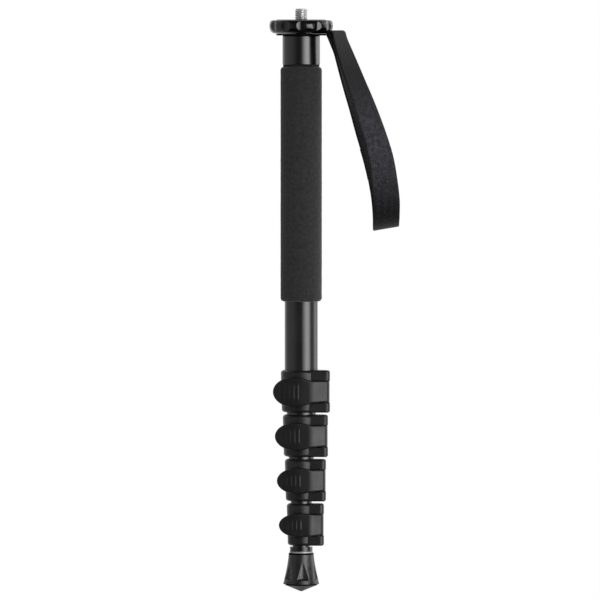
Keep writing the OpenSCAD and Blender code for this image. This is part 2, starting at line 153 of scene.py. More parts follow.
def work_metal(finish, stretch, smooth, rough, patches, dark, light):
    """Tool marks in the gloss of a metal and soft patches in its colour. Returns the marks."""
    marks = place_effect(finish, streaks, Stretch=stretch)
    vary(finish, "Roughness", marks, smooth, rough)
    tint(finish, place_effect(finish, smudges, Scale=patches), dark, light)
    return marks


def dress(node, finish):
    """Gives a CAD node its finish."""
    node.data.materials.clear()
    node.data.materials.append(finish)


streaks = streaks_group()
smudges = cloud_group("handling_smudges", "Smudge", 40.0, 0.35, 0.65, Detail=4.0, Distortion=0.6)

anodised = new_finish("anodised_black", (0.0065, 0.0065, 0.007), 0.18, Specular_IOR_Level=0.44)
draw_marks = work_metal(
    anodised, (2600, 2600, 9), 0.14, 0.24, 30.0, (0.005, 0.005, 0.0056), (0.01, 0.01, 0.0107))
emboss(anodised, draw_marks, 0.004 * MM)
for i in range(1, TUBE_COUNT + 1):
    dress(nodes[f"tube_{i}"], anodised)


# Guide sleeves
# A split nylon sleeve pressed over the top of each sliding tube, which keeps it
# centred in the tube around it. Natural nylon, waxy, a little yellow.
guide_nylon = new_finish("guide_nylon", (0.62, 0.6, 0.53), 0.45, Subsurface_Weight=0.1)
scuffs = place_effect(guide_nylon, streaks, Stretch=(900, 900, 30))
vary(guide_nylon, "Roughness", scuffs, 0.36, 0.58)
tint(guide_nylon, scuffs, (0.55, 0.53, 0.46), (0.66, 0.64, 0.57))
for i in range(2, TUBE_COUNT + 1):
    dress(nodes[f"guide_sleeve_{i}"], guide_nylon)


# Neck cap
# A turned aluminium cap glued over the top tube, polished and then dyed black, so
# it is the glossiest piece. Faint turning rings are left under the gloss, and the
# narrow relief below it, where the grip starts, is left matt, with painted shade
# that makes it near-black.
NECK_LOW, RELIEF_SOFT = -34.1, 0.4
NECK_BLACK, RELIEF_PAINTED_SHADE = (0.0026, 0.0026, 0.003), (0.0005, 0.0005, 0.0005)


def maths(tree, operation, *values):
    """The result of one sum on numbers and varying values."""
    return add_node(tree, "Math", dict(enumerate(values)), operation=operation).outputs[0]


neck_gloss = new_finish("neck_gloss", NECK_BLACK, 0.22, Specular_IOR_Level=0.54)
turning = place_effect(neck_gloss, streaks, Stretch=(12, 12, 2400))
emboss(neck_gloss, turning, 0.0015 * MM)
neck_tree = neck_gloss.node_tree
neck_z = add_node(neck_tree, "SeparateXYZ", {0: object_place(neck_tree)}).outputs["Z"]
relief = ramp(neck_tree, neck_z, (NECK_LOW + RELIEF_SOFT) * MM, NECK_LOW * MM)
# Painted shade: the relief is tinted near-black, as the gap above the grip is in shade.
tint(neck_gloss, relief, NECK_BLACK, RELIEF_PAINTED_SHADE)
turned = ramp(neck_tree, turning, to_low=0.19, to_high=0.25)
feed(neck_gloss, "Roughness", maths(neck_tree, "MAXIMUM", turned, relief))
dress(nodes["neck_cap"], neck_gloss)


# Foam grip
# A thick tube of closed-cell rubber foam, pulled over the top tube with air and
# trimmed with rounded ends. Its skin is ground open, so it is dull and mottled.
GRIP_HIGH, GRIP_LOW = -35.6, -212.6
GRIP_R, GRIP_BORE = 15.6, 12.55
GRIP_ROUND = 2.6
GRIP_STEPS, GRIP_ROWS = 128, 112
FOAM_SWELL, FOAM_LUMPS = 0.07, 0.35


def into_scene(name, data):
    """A new object with this mesh, lamp or camera, linked into the scene."""
    item = bpy.data.objects.new(name, data)
    bpy.context.scene.collection.objects.link(item)
    return item


def link_mesh(name, verts, faces, finish, crease=35):
    """A smooth mesh in metres, from points in millimetres, sharp above crease degrees."""
    mesh = bpy.data.meshes.new(name)
    mesh.from_pydata([Vector(v) * MM for v in verts], [], faces)
    shape = bmesh.new()
    shape.from_mesh(mesh)
    bmesh.ops.remove_doubles(shape, verts=shape.verts, dist=1e-7)
    bmesh.ops.recalc_face_normals(shape, faces=shape.faces)
    shape.to_mesh(mesh)
    shape.free()
    mesh.shade_smooth()
    mesh.set_sharp_from_angle(angle=math.radians(crease))
    mesh.materials.append(finish)
    return into_scene(name, mesh)


def skin_rings(rings):
    """Points and faces of a closed skin over rings; a ring of one point is a pole."""
    verts, starts, faces = [], [], []
    for ring in rings:
        starts.append(len(verts))
        verts += ring
    for a in range(len(rings)):
        b = (a + 1) % len(rings)
        count_a, count_b = len(rings[a]), len(rings[b])
        count = max(count_a, count_b)
        if count == 1:
            continue
        for k in range(count):
            j = (k + 1) % count
            corners = [
                starts[a] + k % count_a, starts[a] + j % count_a,
                starts[b] + j % count_b, starts[b] + k % count_b]
            faces.append(list(dict.fromkeys(corners)))
    return verts, faces


def full_turn(steps):
    """Angles in even steps once round."""
    return [2 * math.pi * k / steps for k in range(steps)]


def ring_at(radius, z, steps):
    """Points of one ring; the radius is a number or a function of the angle."""
    if radius == 0:
        return [(0, 0, z)]
    angles = full_turn(steps)
    reach = [radius(a) if callable(radius) else radius for a in angles]
    return [(r * math.cos(a), r * math.sin(a), z) for r, a in zip(reach, angles)]


def corner_arc(radius, z, size, start, stop, steps=6):
    """(radius, z) points of a rounded corner, about its centre, between two angles."""
    turns = [math.radians(start + (stop - start) * k / steps) for k in range(steps + 1)]
    return [(radius + size * math.cos(t), z + size * math.sin(t)) for t in turns]


def foam_rings():
    """The grip's skin, with the soft unevenness of ground foam."""
    edge = GRIP_R - GRIP_ROUND
    high, low = GRIP_HIGH - GRIP_ROUND, GRIP_LOW + GRIP_ROUND
    body = [(GRIP_R, high + (low - high) * k / GRIP_ROWS) for k in range(1, GRIP_ROWS)]
    outline = [(GRIP_BORE, GRIP_HIGH)]
    outline += corner_arc(edge, high, GRIP_ROUND, 90, 0) + body
    outline += corner_arc(edge, low, GRIP_ROUND, 0, -90) + [(GRIP_BORE, GRIP_LOW)]
    rings = []
    for radius, z in outline:
        ring = ring_at(radius, z, GRIP_STEPS)
        if radius > GRIP_BORE:
            lumps = [noise.fractal(Vector(p) * FOAM_LUMPS, 1.0, 2.0, 3) for p in ring]
            swell = [lump * FOAM_SWELL / radius for lump in lumps]
            ring = [(x * (1 + s), y * (1 + s), z) for (x, y, z), s in zip(ring, swell)]
        rings.append(ring)
    return rings


surface_grain = cloud_group("surface_grain", "Grain", 2000.0, 0.3, 0.7, Detail=3.0, Roughness=0.6)

foam = new_finish(
    "grip_foam", (0.014, 0.014, 0.0145), 0.9, Specular_IOR_Level=0.3,
    Sheen_Weight=0.12, Sheen_Roughness=0.5)
cells = add_node(
    foam.node_tree, "TexVoronoi", {"Vector": object_place(foam.node_tree), "Scale": 1300.0})
emboss(foam, cells.outputs["Distance"], 0.12 * MM)
mottle = place_effect(foam, surface_grain, Scale=420.0)
emboss(foam, mottle, 0.1 * MM)
tint(foam, mottle, (0.007, 0.007, 0.0076), (0.0172, 0.0172, 0.0178))
grip = link_mesh("grip_sleeve", *skin_rings(foam_rings()), foam)
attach(grip, "upper")
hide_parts("foam_grip")


# Head bolt, washer and nut
# One steel bolt carries the camera thread on top, a hex seat in the platform and a
# plain shank through the neck; a washer and lock nut under the neck keep it turning.
THREAD_R, THREAD_PITCH, THREAD_DEPTH = 4.7625, 1.5875, 0.7
THREAD_CREST, THREAD_FLANK = 0.12, 0.72
SCREW_TOP, SCREW_FLAT_R, THREAD_CHAMFER = 8.2, 2.2, 0.9
RELIEF_R, RELIEF_HIGH, HEX_HIGH, HEX_T, HEX_R = 4.25, -0.05, -1.4, 3.0, 7.5
SHANK_R, SHANK_CHAMFER, BOLT_LOW = 4.0, 0.6, -26.4
BOLT_STEPS, THREAD_ROWS = 72, 100


def thread_radius(z):
    """Radius of the screw thread round the bolt at one height."""
    limit = THREAD_R - max(0.0, z - SCREW_TOP + THREAD_CHAMFER)

    def radius(angle):
        turn = (z / THREAD_PITCH - angle / (2 * math.pi)) % 1.0
        flank = abs(turn - 0.5) * 2
        cut = min(1.0, max(0.0, (flank - THREAD_CREST) / THREAD_FLANK))
        return min(THREAD_R - THREAD_DEPTH * cut, limit)

    return radius


def hex_radius(angle):
    """Radius of the hex seat, corners on the X axis."""
    third = math.pi / 3
    return HEX_R * math.cos(third / 2) / math.cos(angle % third - third / 2)


def bolt_rings():
    """The bolt from its tip down to the end of its shank."""
    hex_low = HEX_HIGH - HEX_T
    rings = [ring_at(0, SCREW_TOP, 1), ring_at(SCREW_FLAT_R, SCREW_TOP, BOLT_STEPS)]
    for k in range(THREAD_ROWS + 1):
        z = SCREW_TOP * (1 - k / THREAD_ROWS)
        rings.append(ring_at(thread_radius(z), z, BOLT_STEPS))
    rings += [ring_at(radius, z, BOLT_STEPS) for radius, z in (
        (RELIEF_R, RELIEF_HIGH), (RELIEF_R, HEX_HIGH), (hex_radius, HEX_HIGH),
        (hex_radius, hex_low), (SHANK_R, hex_low), (SHANK_R, BOLT_LOW + SHANK_CHAMFER),
        (SHANK_R - SHANK_CHAMFER, BOLT_LOW))]
    return rings + [ring_at(0, BOLT_LOW, 1)]


steel = new_finish("bright_steel", (0.52, 0.52, 0.53), 0.42, Metallic=0.8)
work_metal(steel, (60, 60, 3000), 0.34, 0.48, 260.0, (0.45, 0.45, 0.46), (0.58, 0.58, 0.59))
bolt = link_mesh("head_bolt", *skin_rings(bolt_rings()), steel, crease=28)
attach(bolt, "platform")
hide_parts("camera_screw")
dress(nodes["pivot_washer"], steel)
dress(nodes["pivot_nut"], steel)


# Strap plate
# A stamped steel plate clamped between the neck and the platform, with a round bar
# welded into its lug for the strap. Black enamel, rubbed thin along its edges.
PLATE_BLACK, PLATE_WORN = (0.0016, 0.0016, 0.0018), (0.005, 0.005, 0.0053)


def edge_group():
    """Where the surface turns outwards, broken up by grain: 1 on a worn edge."""
    group, entry, leave = effect_group(
        "edge_wear", {"Start": 0.52, "Full": 0.6, "Scale": 900.0}, "Wear")
    grain = add_node(group, "TexNoise", {
        "Vector": object_place(group), "Scale": entry.outputs["Scale"], "Detail": 2.0})
    sharp = add_node(group, "NewGeometry").outputs["Pointiness"]
    edge = ramp(group, sharp, entry.outputs["Start"], entry.outputs["Full"])
    group.links.new(maths(group, "MULTIPLY", edge, grain.outputs[0]), leave.inputs[0])
    return group


edge_wear = edge_group()

enamel = new_finish("plate_enamel", PLATE_BLACK, 0.34, Specular_IOR_Level=0.01)
vary(enamel, "Roughness", place_effect(enamel, surface_grain, Scale=1600.0), 0.28, 0.42)
emboss(enamel, place_effect(enamel, surface_grain, Scale=2400.0), 0.006 * MM)
tint(enamel, place_effect(enamel, edge_wear, Start=0.53), PLATE_BLACK, PLATE_WORN)
dress(nodes["strap_plate"], enamel)


# Platform disc and pad
# A die-cast disc in gloss black enamel, cut with twelve shallow finger scallops, so
# that it can be spun tight under a camera. A ribbed rubber pad is glued in its top.
DISC_R, DISC_HIGH, DISC_LOW = 24.3, -0.4, -10.6
SCALLOPS, SCALLOP_R, SCALLOP_DEPTH = 12, 8.0, 1.1
RIM_BULGE_R, RIM_BULGE_UP, RIM_ROUND_HIGH, RIM_ROUND_LOW = 6.8, 0.8, 1.2, 1.6
RIDGE_SOFT = 0.16
SHANK_BORE, HEX_PLAY = 4.05, 0.05
PAD_SEAT_R, PAD_SEAT, SEAT_CHAMFER = 18.55, -1.4, 0.2
DISC_STEPS, RIM_ROWS = 480, 16
PAD_R, PAD_BORE, PAD_TOP, PAD_EDGE = 18.5, 4.93, 0.0, 0.3
PAD_RIB_PITCH, PAD_RIB_DEPTH = 1.3, 0.35
PAD_STEPS, PAD_ROWS = 96, 96
DISC_BLACK, DISC_WORN = (0.002, 0.002, 0.0024), (0.025, 0.025, 0.026)


def scallop_radius(angle):
    """Radius of the nearest scallop's wall along one direction."""
    pitch = 2 * math.pi / SCALLOPS
    off = (angle + pitch / 2) % pitch - pitch / 2
    centre = DISC_R + SCALLOP_R - SCALLOP_DEPTH
    inside = SCALLOP_R ** 2 - (centre * math.sin(off)) ** 2
    if inside < 0:
        return 2 * DISC_R
    return centre * math.cos(off) - math.sqrt(inside)


def rim_radius(reach):
    """The scalloped outline of the disc where its rim would reach that far."""
    def radius(angle):
        gap = (scallop_radius(angle) - reach) / RIDGE_SOFT
        return reach - RIDGE_SOFT * math.log(1 + math.exp(-gap))
    return radius


def disc_rings():
    """The disc's skin, from the shank's bore over the pad seat and round the rim."""
    widest = (DISC_HIGH + DISC_LOW) / 2 + RIM_BULGE_UP
    hex_floor = HEX_HIGH - HEX_T

    def hex_wall(angle):
        return hex_radius(angle) + HEX_PLAY

    rings = [ring_at(radius, z, DISC_STEPS) for radius, z in (
        (SHANK_BORE, DISC_LOW), (SHANK_BORE, hex_floor), (hex_wall, hex_floor),
        (hex_wall, PAD_SEAT), (PAD_SEAT_R, PAD_SEAT), (PAD_SEAT_R, DISC_HIGH - SEAT_CHAMFER),
        (PAD_SEAT_R + SEAT_CHAMFER, DISC_HIGH))]
    rim = corner_arc(-RIM_ROUND_HIGH, DISC_HIGH - RIM_ROUND_HIGH, RIM_ROUND_HIGH, 90, 0)
    wall_high, wall_low = DISC_HIGH - RIM_ROUND_HIGH, DISC_LOW + RIM_ROUND_LOW
    rim += [(0, wall_high + (wall_low - wall_high) * k / RIM_ROWS) for k in range(1, RIM_ROWS)]
    rim += corner_arc(-RIM_ROUND_LOW, wall_low, RIM_ROUND_LOW, 0, -90)
    for inset, z in rim:
        bulge = (z - widest) ** 2 / (2 * RIM_BULGE_R)
        rings.append(ring_at(rim_radius(DISC_R + inset - bulge), z, DISC_STEPS))
    return rings


def pad_rings():
    """The pad, with round ribs pressed into its top."""
    outline = [(PAD_BORE, PAD_SEAT), (PAD_BORE, PAD_TOP)]
    for k in range(1, PAD_ROWS):
        radius = PAD_BORE + (PAD_R - PAD_BORE) * k / PAD_ROWS
        wave = 0.5 - 0.5 * math.cos(2 * math.pi * (radius - PAD_BORE) / PAD_RIB_PITCH)
        outline.append((radius, PAD_TOP - PAD_RIB_DEPTH * wave ** 2))
    outline += [(PAD_R, PAD_TOP - PAD_EDGE), (PAD_R, PAD_SEAT)]
    return [ring_at(radius, z, PAD_STEPS) for radius, z in outline]


gloss_enamel = new_finish("disc_enamel", DISC_BLACK, 0.1, Specular_IOR_Level=0.4)
peel = place_effect(gloss_enamel, smudges, Scale=420.0)
vary(gloss_enamel, "Roughness", peel, 0.06, 0.14)
emboss(gloss_enamel, peel, 0.008 * MM)
rubbed_rim = place_effect(gloss_enamel, edge_wear, Start=0.56, Full=0.7)
tint(gloss_enamel, rubbed_rim, DISC_BLACK, DISC_WORN)
disc = link_mesh("turning_disc", *skin_rings(disc_rings()), gloss_enamel, crease=38)
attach(disc, "platform")
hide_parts("platform_disc")

pad_rubber = new_finish("pad_rubber", (0.013, 0.013, 0.013), 0.72, Specular_IOR_Level=0.4)
dusting = place_effect(pad_rubber, smudges, Scale=120.0)
tint(pad_rubber, dusting, (0.01, 0.01, 0.01), (0.023, 0.0224, 0.0218))
vary(pad_rubber, "Roughness", dusting, 0.62, 0.85)
emboss(pad_rubber, place_effect(pad_rubber, surface_grain, Scale=3000.0), 0.02 * MM)
pad = link_mesh("ribbed_pad", *skin_rings(pad_rings()), pad_rubber)
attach(pad, "platform")
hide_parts("rubber_pad")


# Wrist strap
# A loop of woven nylon webbing, 20 mm wide, passed through the plate's lug. Its two
# ends overlap on the rear strand and are sewn together with a boxed cross.
STRAP_W, STRAP_T = 20.0, 1.5
BAR_AT = Vector((26.3272, -15.2, -11.35))
LUG_DIR = Vector((0.8660254, -0.5, 0))
FOLD_R, FOLD_TURN = 2.55, 60
STRAP_ROUTE = [
    (29.7, -17, -16, 58, 0), (31.7, -17.5, -22, 54, 0), (34.6, -18, -30, 50, 0),
    (40.2, -19, -45, 43, 0), (46.1, -21, -60, 38, 0), (51.9, -23, -76, 33, 0),
    (56.8, -25, -91, 29, 0), (60.7, -26, -106, 24, 0), (62.8, -27, -121, 17, 0),
    (64.2, -25, -136, 8, 0.04), (64.2, -20, -147, 3, 0.1), (64, -12, -154, 0, 0.15),
    (64, -2, -157, 0, 0.17),
    (64, 8, -155, 0, 0.15), (64, 17, -148, 3, 0.1), (63, 23, -136, 8, 0.04),
    (60.3, 24, -121, 17, 0), (56.6, 21, -106, 25, 0), (52.1, 16, -91, 30, 0),
    (47.1, 9, -76, 38, 0), (41.5, 2, -60, 48, 0), (36.3, -5, -45, 54, 0),
    (31.4, -11, -30, 59, 0), (28.8, -13, -22, 60, 0), (26.1, -14.5, -16, 60, 0)]
ROUTE_STEPS = 8
YARN_PITCH, YARN_BAND = 1.25, 2.5
YARN_LOW, YARN_HIGH = (0.0012, 0.0012, 0.0015, 1), (0.0045, 0.0043, 0.0054, 1)
# Where along the strap, in mm, the painted highlight is centred, and how far it spreads.
HIGHLIGHT_AT, HIGHLIGHT_LONG = 95.0, 60.0
LAP_START, LAP_END, LAP_T, LAP_INSET = 225.0, 253.0, 1.3, 0.2
STITCH_LONG, STITCH_GAP, STITCH_R = 2.1, 0.7, 0.28
STITCH_MARGIN, STITCH_HALF_W, STITCH_UP, STITCH_HOLE = 4.5, 7.0, 0.1, 0.12


def strap_points():
    """The whole closed route: round the bar, down the front strand and up the rear."""
    fold = []
    for a in range(180, -1, -30):
        reach = math.cos(math.radians(a)) * LUG_DIR + Vector((0, 0, math.sin(math.radians(a))))
        fold.append((*(BAR_AT + FOLD_R * reach), FOLD_TURN, 0))
    return [Vector(p) for p in fold + STRAP_ROUTE]


def strap_frames():
    """[(centre, side, face, length along)] in steps of a smooth curve through the route."""
    route = strap_points()
    count = len(route)
    line = []
    for i in range(count):
        p = [route[(i + k - 1) % count] for k in range(4)]
        for s in range(ROUTE_STEPS):
            t = s / ROUTE_STEPS
            line.append(0.5 * (
                2 * p[1] + (p[2] - p[0]) * t + (2 * p[0] - 5 * p[1] + 4 * p[2] - p[3]) * t ** 2
                + (3 * p[1] - p[0] - 3 * p[2] + p[3]) * t ** 3))
    frames, length = [], 0.0
    for i, spot in enumerate(line):
        ahead, behind = line[(i + 1) % len(line)], line[i - 1]
        along = (ahead.xyz - behind.xyz).normalized()
        turn = math.radians(spot[3])
        face = along.cross(Vector((math.cos(turn), math.sin(turn), spot[4]))).normalized()
        frames.append((spot.xyz, face.cross(along), face, length))
        length += (ahead.xyz - spot.xyz).length
    return frames


def web_section(width, thick, lift=0.0):
    """(across, through) points round a strip of webbing with soft selvedges."""
    flat = width / 2 - thick / 2
    turns = [math.radians(t) for t in range(-75, 90, 30)]
    right = [(flat + thick / 2 * math.cos(t), thick / 2 * math.sin(t)) for t in turns]
    top = [(flat * (1 - k / 5), thick / 2) for k in range(11)]
    left = [(-x, -y) for x, y in right]
    under = [(-x, -y) for x, y in top]
    return [(x, y + lift) for x, y in right + top + left + under]


def web_ring(place, section):
    """One cross-section of webbing set on the route."""
    centre, side, face, _ = place
    return [tuple(centre + side * x + face * y) for x, y in section]


def webbing_finish():
    """Herringbone nylon: diagonal yarns in bands, with a patchy painted highlight round the turn.
    """
    finish = new_finish(
        "strap_webbing", (0.005, 0.005, 0.006), 0.6, Specular_IOR_Level=0.12,
        Sheen_Weight=0.02, Sheen_Roughness=0.4)
    tree = finish.node_tree
    along = add_node(tree, "Attribute", attribute_name="along").outputs["Fac"]
    across = add_node(tree, "Attribute", attribute_name="across").outputs["Fac"]
    slant = maths(tree, "ADD", along, maths(tree, "PINGPONG", across, YARN_BAND))
    yarn = maths(tree, "SINE", maths(tree, "MULTIPLY", slant, 2 * math.pi / YARN_PITCH))
    rise = ramp(tree, yarn, -1.0)
    emboss(finish, rise, 0.16 * MM)
    fuzz = place_effect(finish, surface_grain, Scale=2600.0)
    emboss(finish, fuzz, 0.05 * MM)
    both = add_node(tree, "Mix", {0: 0.35, 2: rise, 3: fuzz}, data_type="FLOAT").outputs[0]
    # Painted highlight: the colour is lifted, in patches, where the front strand turns towards the
    # key light.
    away = ramp(tree, along, HIGHLIGHT_AT - HIGHLIGHT_LONG, HIGHLIGHT_AT + HIGHLIGHT_LONG, to_low=-1.0)
    near = maths(tree, "SUBTRACT", 1.0, maths(tree, "MULTIPLY", away, away))
    patches = place_effect(finish, smudges, Scale=420.0)
    uneven = ramp(tree, patches, to_low=3.2, to_high=10.0)
    painted_highlight = maths(tree, "MULTIPLY_ADD", maths(tree, "MULTIPLY", near, near), uneven, 1.0)
    weave = add_node(tree, "Mix", {0: both, 6: YARN_LOW, 7: YARN_HIGH}, data_type="RGBA")
    weave_with_highlight = add_node(tree, "VectorMath", {0: weave.outputs[2], "Scale": painted_highlight}, operation="SCALE")
    feed(finish, "Base Color", weave_with_highlight.outputs[0])
    vary(finish, "Roughness", fuzz, 0.48, 0.66)
    return finish


webbing = webbing_finish()


def web_piece(name, frames, section, cap=()):
    """Webbing over part of the route. Its points keep their place in the cloth, in mm, for the
    weave. The cap is one point of the section, which closes both ends."""
    strips = [(frames[0], cap)] + [(f, section) for f in frames] + [(frames[-1], cap)]
    strips = [(f, outline) for f, outline in strips if outline]
    rings = [web_ring(f, outline) for f, outline in strips]
    piece = link_mesh(name, *skin_rings(rings), webbing, crease=60)
    cloth = [(f[3], x) for f, outline in strips for x, _ in outline]
    for label, values in zip(("along", "across"), zip(*cloth)):
        piece.data.attributes.new(label, "FLOAT", "POINT").data.foreach_set("value", values)
    return piece


route_frames = strap_frames()
strap = web_piece("wrist_loop", route_frames, web_section(STRAP_W, STRAP_T))
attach(strap, "strap")
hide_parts("wrist_strap")

lap_frames = [f for f in route_frames if LAP_START < f[3] < LAP_END]
lap_lift = (STRAP_T + LAP_T) / 2
lap_section = web_section(STRAP_W - 2 * LAP_INSET, LAP_T, lap_lift)
lap = web_piece("strap_lap", lap_frames, lap_section, cap=[(0, lap_lift)])
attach(lap, "strap")


def strap_spot(length, across, lift):
    """A point by its place along, across and above the strap's route."""
    after = next(i for i, f in enumerate(route_frames) if f[3] >= length)
    a, b = route_frames[after - 1], route_frames[after]
    share = (length - a[3]) / (b[3] - a[3])
    centre, side, face = (a[k].lerp(b[k], share) for k in range(3))
    return centre + side * across + face * lift


def stitch_rings(start, end, up):
    """One stitch: a short plump run of thread, pulled down at both ends."""
    along = (end - start).normalized()
    side = along.cross(up).normalized()
    rings = [[tuple(start - up * STITCH_R)]]
    for share, size in ((0.12, 0.8), (0.5, 1.0), (0.88, 0.8)):
        centre, thick = start.lerp(end, share), STITCH_R * size
        rings.append([
            tuple(centre + thick * (side * math.cos(t) + up * math.sin(t))) for t in full_turn(6)])
    return rings + [[tuple(end - up * STITCH_R)]]


def sewn_runs():
    """(along, across) corners of the boxed cross that holds the lap."""
    low, high, wide = LAP_START + STITCH_MARGIN, LAP_END - STITCH_MARGIN, STITCH_HALF_W
    corners = [(low, -wide), (low, wide), (high, wide), (high, -wide)]
    box = [(corners[k], corners[(k + 1) % 4]) for k in range(4)]
    return box + [(corners[0], corners[2]), (corners[1], corners[3])]


stitch_verts, stitch_faces = [], []
stitch_lift = STRAP_T / 2 + LAP_T + STITCH_UP
for run_start, run_end in sewn_runs():
    run = math.dist(run_start, run_end)
    count = round(run / (STITCH_LONG + STITCH_GAP))
    for k in range(count):
        ends = []
        for share in ((k + STITCH_HOLE) / count, (k + 1 - STITCH_HOLE) / count):
            along, across = (a + (b - a) * share for a, b in zip(run_start, run_end))
            ends.append(strap_spot(along, across, stitch_lift))
        up = (strap_spot(along, across, stitch_lift + 1) - ends[1]).normalized()
        verts, faces = skin_rings(stitch_rings(*ends, up))
        stitch_faces += [[len(stitch_verts) + v for v in face] for face in faces]
        stitch_verts += verts
thread = new_finish("strap_thread", (0.017, 0.017, 0.0195), 0.55, Sheen_Weight=0.05)
twist = place_effect(thread, surface_grain, Scale=4200.0)
tint(thread, twist, (0.01, 0.01, 0.012), (0.031, 0.031, 0.035))
emboss(thread, twist, 0.04 * MM)
stitches = link_mesh("strap_stitches", stitch_verts, stitch_faces, thread, crease=80)
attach(stitches, "strap")


# Lock collars, liners and pins
# Four collars moulded in glass-filled nylon, glued over the tubes' lower ends. Each
# holds an acetal liner round the next tube, and a steel pin through its two ears.
LOCK_COUNT = 4


def lock_finish(name, dark, light, gloss, smooth, dull):
    """Moulded nylon with an even spark-eroded grain, polished a little by handling."""
    finish = new_finish(name, dark, dull, Specular_IOR_Level=gloss)
    grain = place_effect(finish, surface_grain, Scale=2600.0)
    emboss(finish, grain, 0.012 * MM)
    vary(finish, "Roughness", place_effect(finish, smudges, Scale=90.0), smooth, dull)
    tint(finish, place_effect(finish, edge_wear, Start=0.53, Full=0.64), dark, light)
    return finish


collar_nylon = lock_finish(
    "collar_nylon", (0.0085, 0.0085, 0.0089), (0.018, 0.018, 0.0186), 0.21, 0.27, 0.35)
acetal = new_finish("liner_acetal", (0.018, 0.018, 0.0186), 0.38, Specular_IOR_Level=0.45)
rubbed = place_effect(acetal, streaks, Stretch=(1200, 1200, 40))
vary(acetal, "Roughness", rubbed, 0.28, 0.5)
tint(acetal, rubbed, (0.013, 0.013, 0.0136), (0.028, 0.028, 0.0286))
pin_steel = new_finish("pin_steel", (0.05, 0.05, 0.052), 0.4, Metallic=1.0)
work_metal(
    pin_steel, (60, 60, 2400), 0.3, 0.5, 300.0, (0.035, 0.034, 0.034), (0.07, 0.069, 0.068))
for i in range(1, LOCK_COUNT + 1):
    dress(nodes[f"lock_{i}_collar"], collar_nylon)
    dress(nodes[f"lock_{i}_liner"], acetal)
    dress(nodes[f"lock_{i}_pin"], pin_steel)


# Lock levers
# Moulded cam levers on the pins. The knuckle's cam presses the liner on to the inner
# tube; the panel bends round the collar to a leaf-shaped paddle with five grip ribs.
TOP_TUBE_OD, TUBE_STEP = 25.0, 3.0
LOCK_WALL, EAR_OUT, EAR_FRONT, EAR_R = 2.9, 9.2, 1.0, 4.2
LEVER_MIDS = (-280.5, -314.1, -347.7, -381.3)
LEVER_H, LEVER_T, LEVER_RISE, HUG_CLEAR = 16.6, 2.6, 1.0, 0.35
LEVER_BEND, BEND_HALF, NOSE_FWD = 7.7, 2.6, 1.8
BOW_R, SWEEP_X = 50.0, 1.0
PADDLE_H, PADDLE_STEP, PADDLE_OUT, PADDLE_NOSE = 22.2, 1.4, 9.2, 15.0
KNUCKLE_R, CAM_LIFT, PIN_BORE = 3.8, 0.4, 1.58
KNUCKLE_SOFT, SOFT_MID, KNUCKLE_STEPS = 0.5, 0.3, 64
RIB_COUNT, RIB_PLACE, RIB_PITCH, RIB_RISE, RIB_HALF = 5, 0.42, 3.25, 0.22, 1.2
RIB_MARGIN, RIB_FADE = 5.0, 0.6
LEVER_ROUND, RISE_PAST, NOSE_THIN, THIN_LONG = 1.05, 1.0, 0.8, 3.0
LEVER_ROWS, FINE_STEP, TIP_LONG = 26, 0.22, 0.7
TIP_STEPS = [0.0, 0.02, 0.06, 0.12, 0.2, 0.3, 0.42, 0.56]


def ray(angle):
    """Direction in plan, turned from the front towards the right."""
    return Vector((math.sin(angle), -math.cos(angle)))


def lever_facts(i):
    """The sizes of one lock's lever, as a small table."""
    tube_r = (TOP_TUBE_OD - (i - 1) * TUBE_STEP) / 2
    pin = Vector((tube_r + EAR_OUT - EAR_R, -(tube_r + EAR_FRONT) + EAR_R))
    hug_r = tube_r + LOCK_WALL + HUG_CLEAR + LEVER_T
    nose_at = pin + NOSE_FWD * ray(0)
    run = nose_at - Vector((LEVER_BEND, -hug_r))
    panel = math.atan2(run.y, run.x) - math.asin(KNUCKLE_R / run.length)
    bend_r = BEND_HALF / math.tan(panel / 2)
    tip_x = tube_r + PADDLE_OUT
    half = (PADDLE_H - (i - 1) * PADDLE_STEP) / 2
    bow_end = -math.asin((tip_x + SWEEP_X) / BOW_R)
    rib_turn = -math.asin((RIB_PLACE * tip_x + SWEEP_X) / BOW_R)
    return {
        "pin": pin, "pin_angle": math.atan2(pin.y, pin.x), "nose_at": nose_at, "panel": panel,
        "bend_r": bend_r, "bend_centre": Vector((LEVER_BEND - BEND_HALF, bend_r - hug_r)),
        "bow_centre": Vector((SWEEP_X, BOW_R - hug_r)), "bow_end": bow_end,
        "rib_mid": BOW_R * (rib_turn - bow_end), "half": half, "centre": PADDLE_NOSE - tip_x,
        "right": tube_r + EAR_OUT + RISE_PAST, "mid": LEVER_MIDS[i - 1]}


def arc_line(centre, radius, start, stop, steps):
    """[(point, outward direction)] along an arc, after its first point."""
    turns = [start + (stop - start) * k / steps for k in range(1, steps + 1)]
    return [(centre + radius * ray(t), ray(t)) for t in turns]


def straight_line(start, end, out, steps):
    """[(point, outward direction)] along a straight run, after its first point."""
    return [(start.lerp(end, k / steps), out) for k in range(1, steps + 1)]


def lever_line(lever):
    """[(point, outward direction)] along the lever's outer side, from its tip to its pin."""
    bow = -BOW_R * lever["bow_end"] - TIP_LONG
    steps = round(bow / FINE_STEP)
    line = []
    for s in TIP_STEPS + [TIP_LONG + bow * k / steps for k in range(steps + 1)]:
        angle = lever["bow_end"] + s / BOW_R
        line.append((lever["bow_centre"] + BOW_R * ray(angle), ray(angle)))
    panel, side = lever["panel"], math.pi / 2
    line += straight_line(line[-1][0], lever["bend_centre"] + lever["bend_r"] * ray(0), ray(0), 8)
    line += arc_line(lever["bend_centre"], lever["bend_r"], 0, panel, 12)
    line += straight_line(line[-1][0], lever["nose_at"] + KNUCKLE_R * ray(panel), ray(panel), 12)
    line += arc_line(lever["nose_at"], KNUCKLE_R, panel, side, 12)
    return line + straight_line(line[-1][0], lever["pin"] + KNUCKLE_R * ray(side), ray(side), 3)


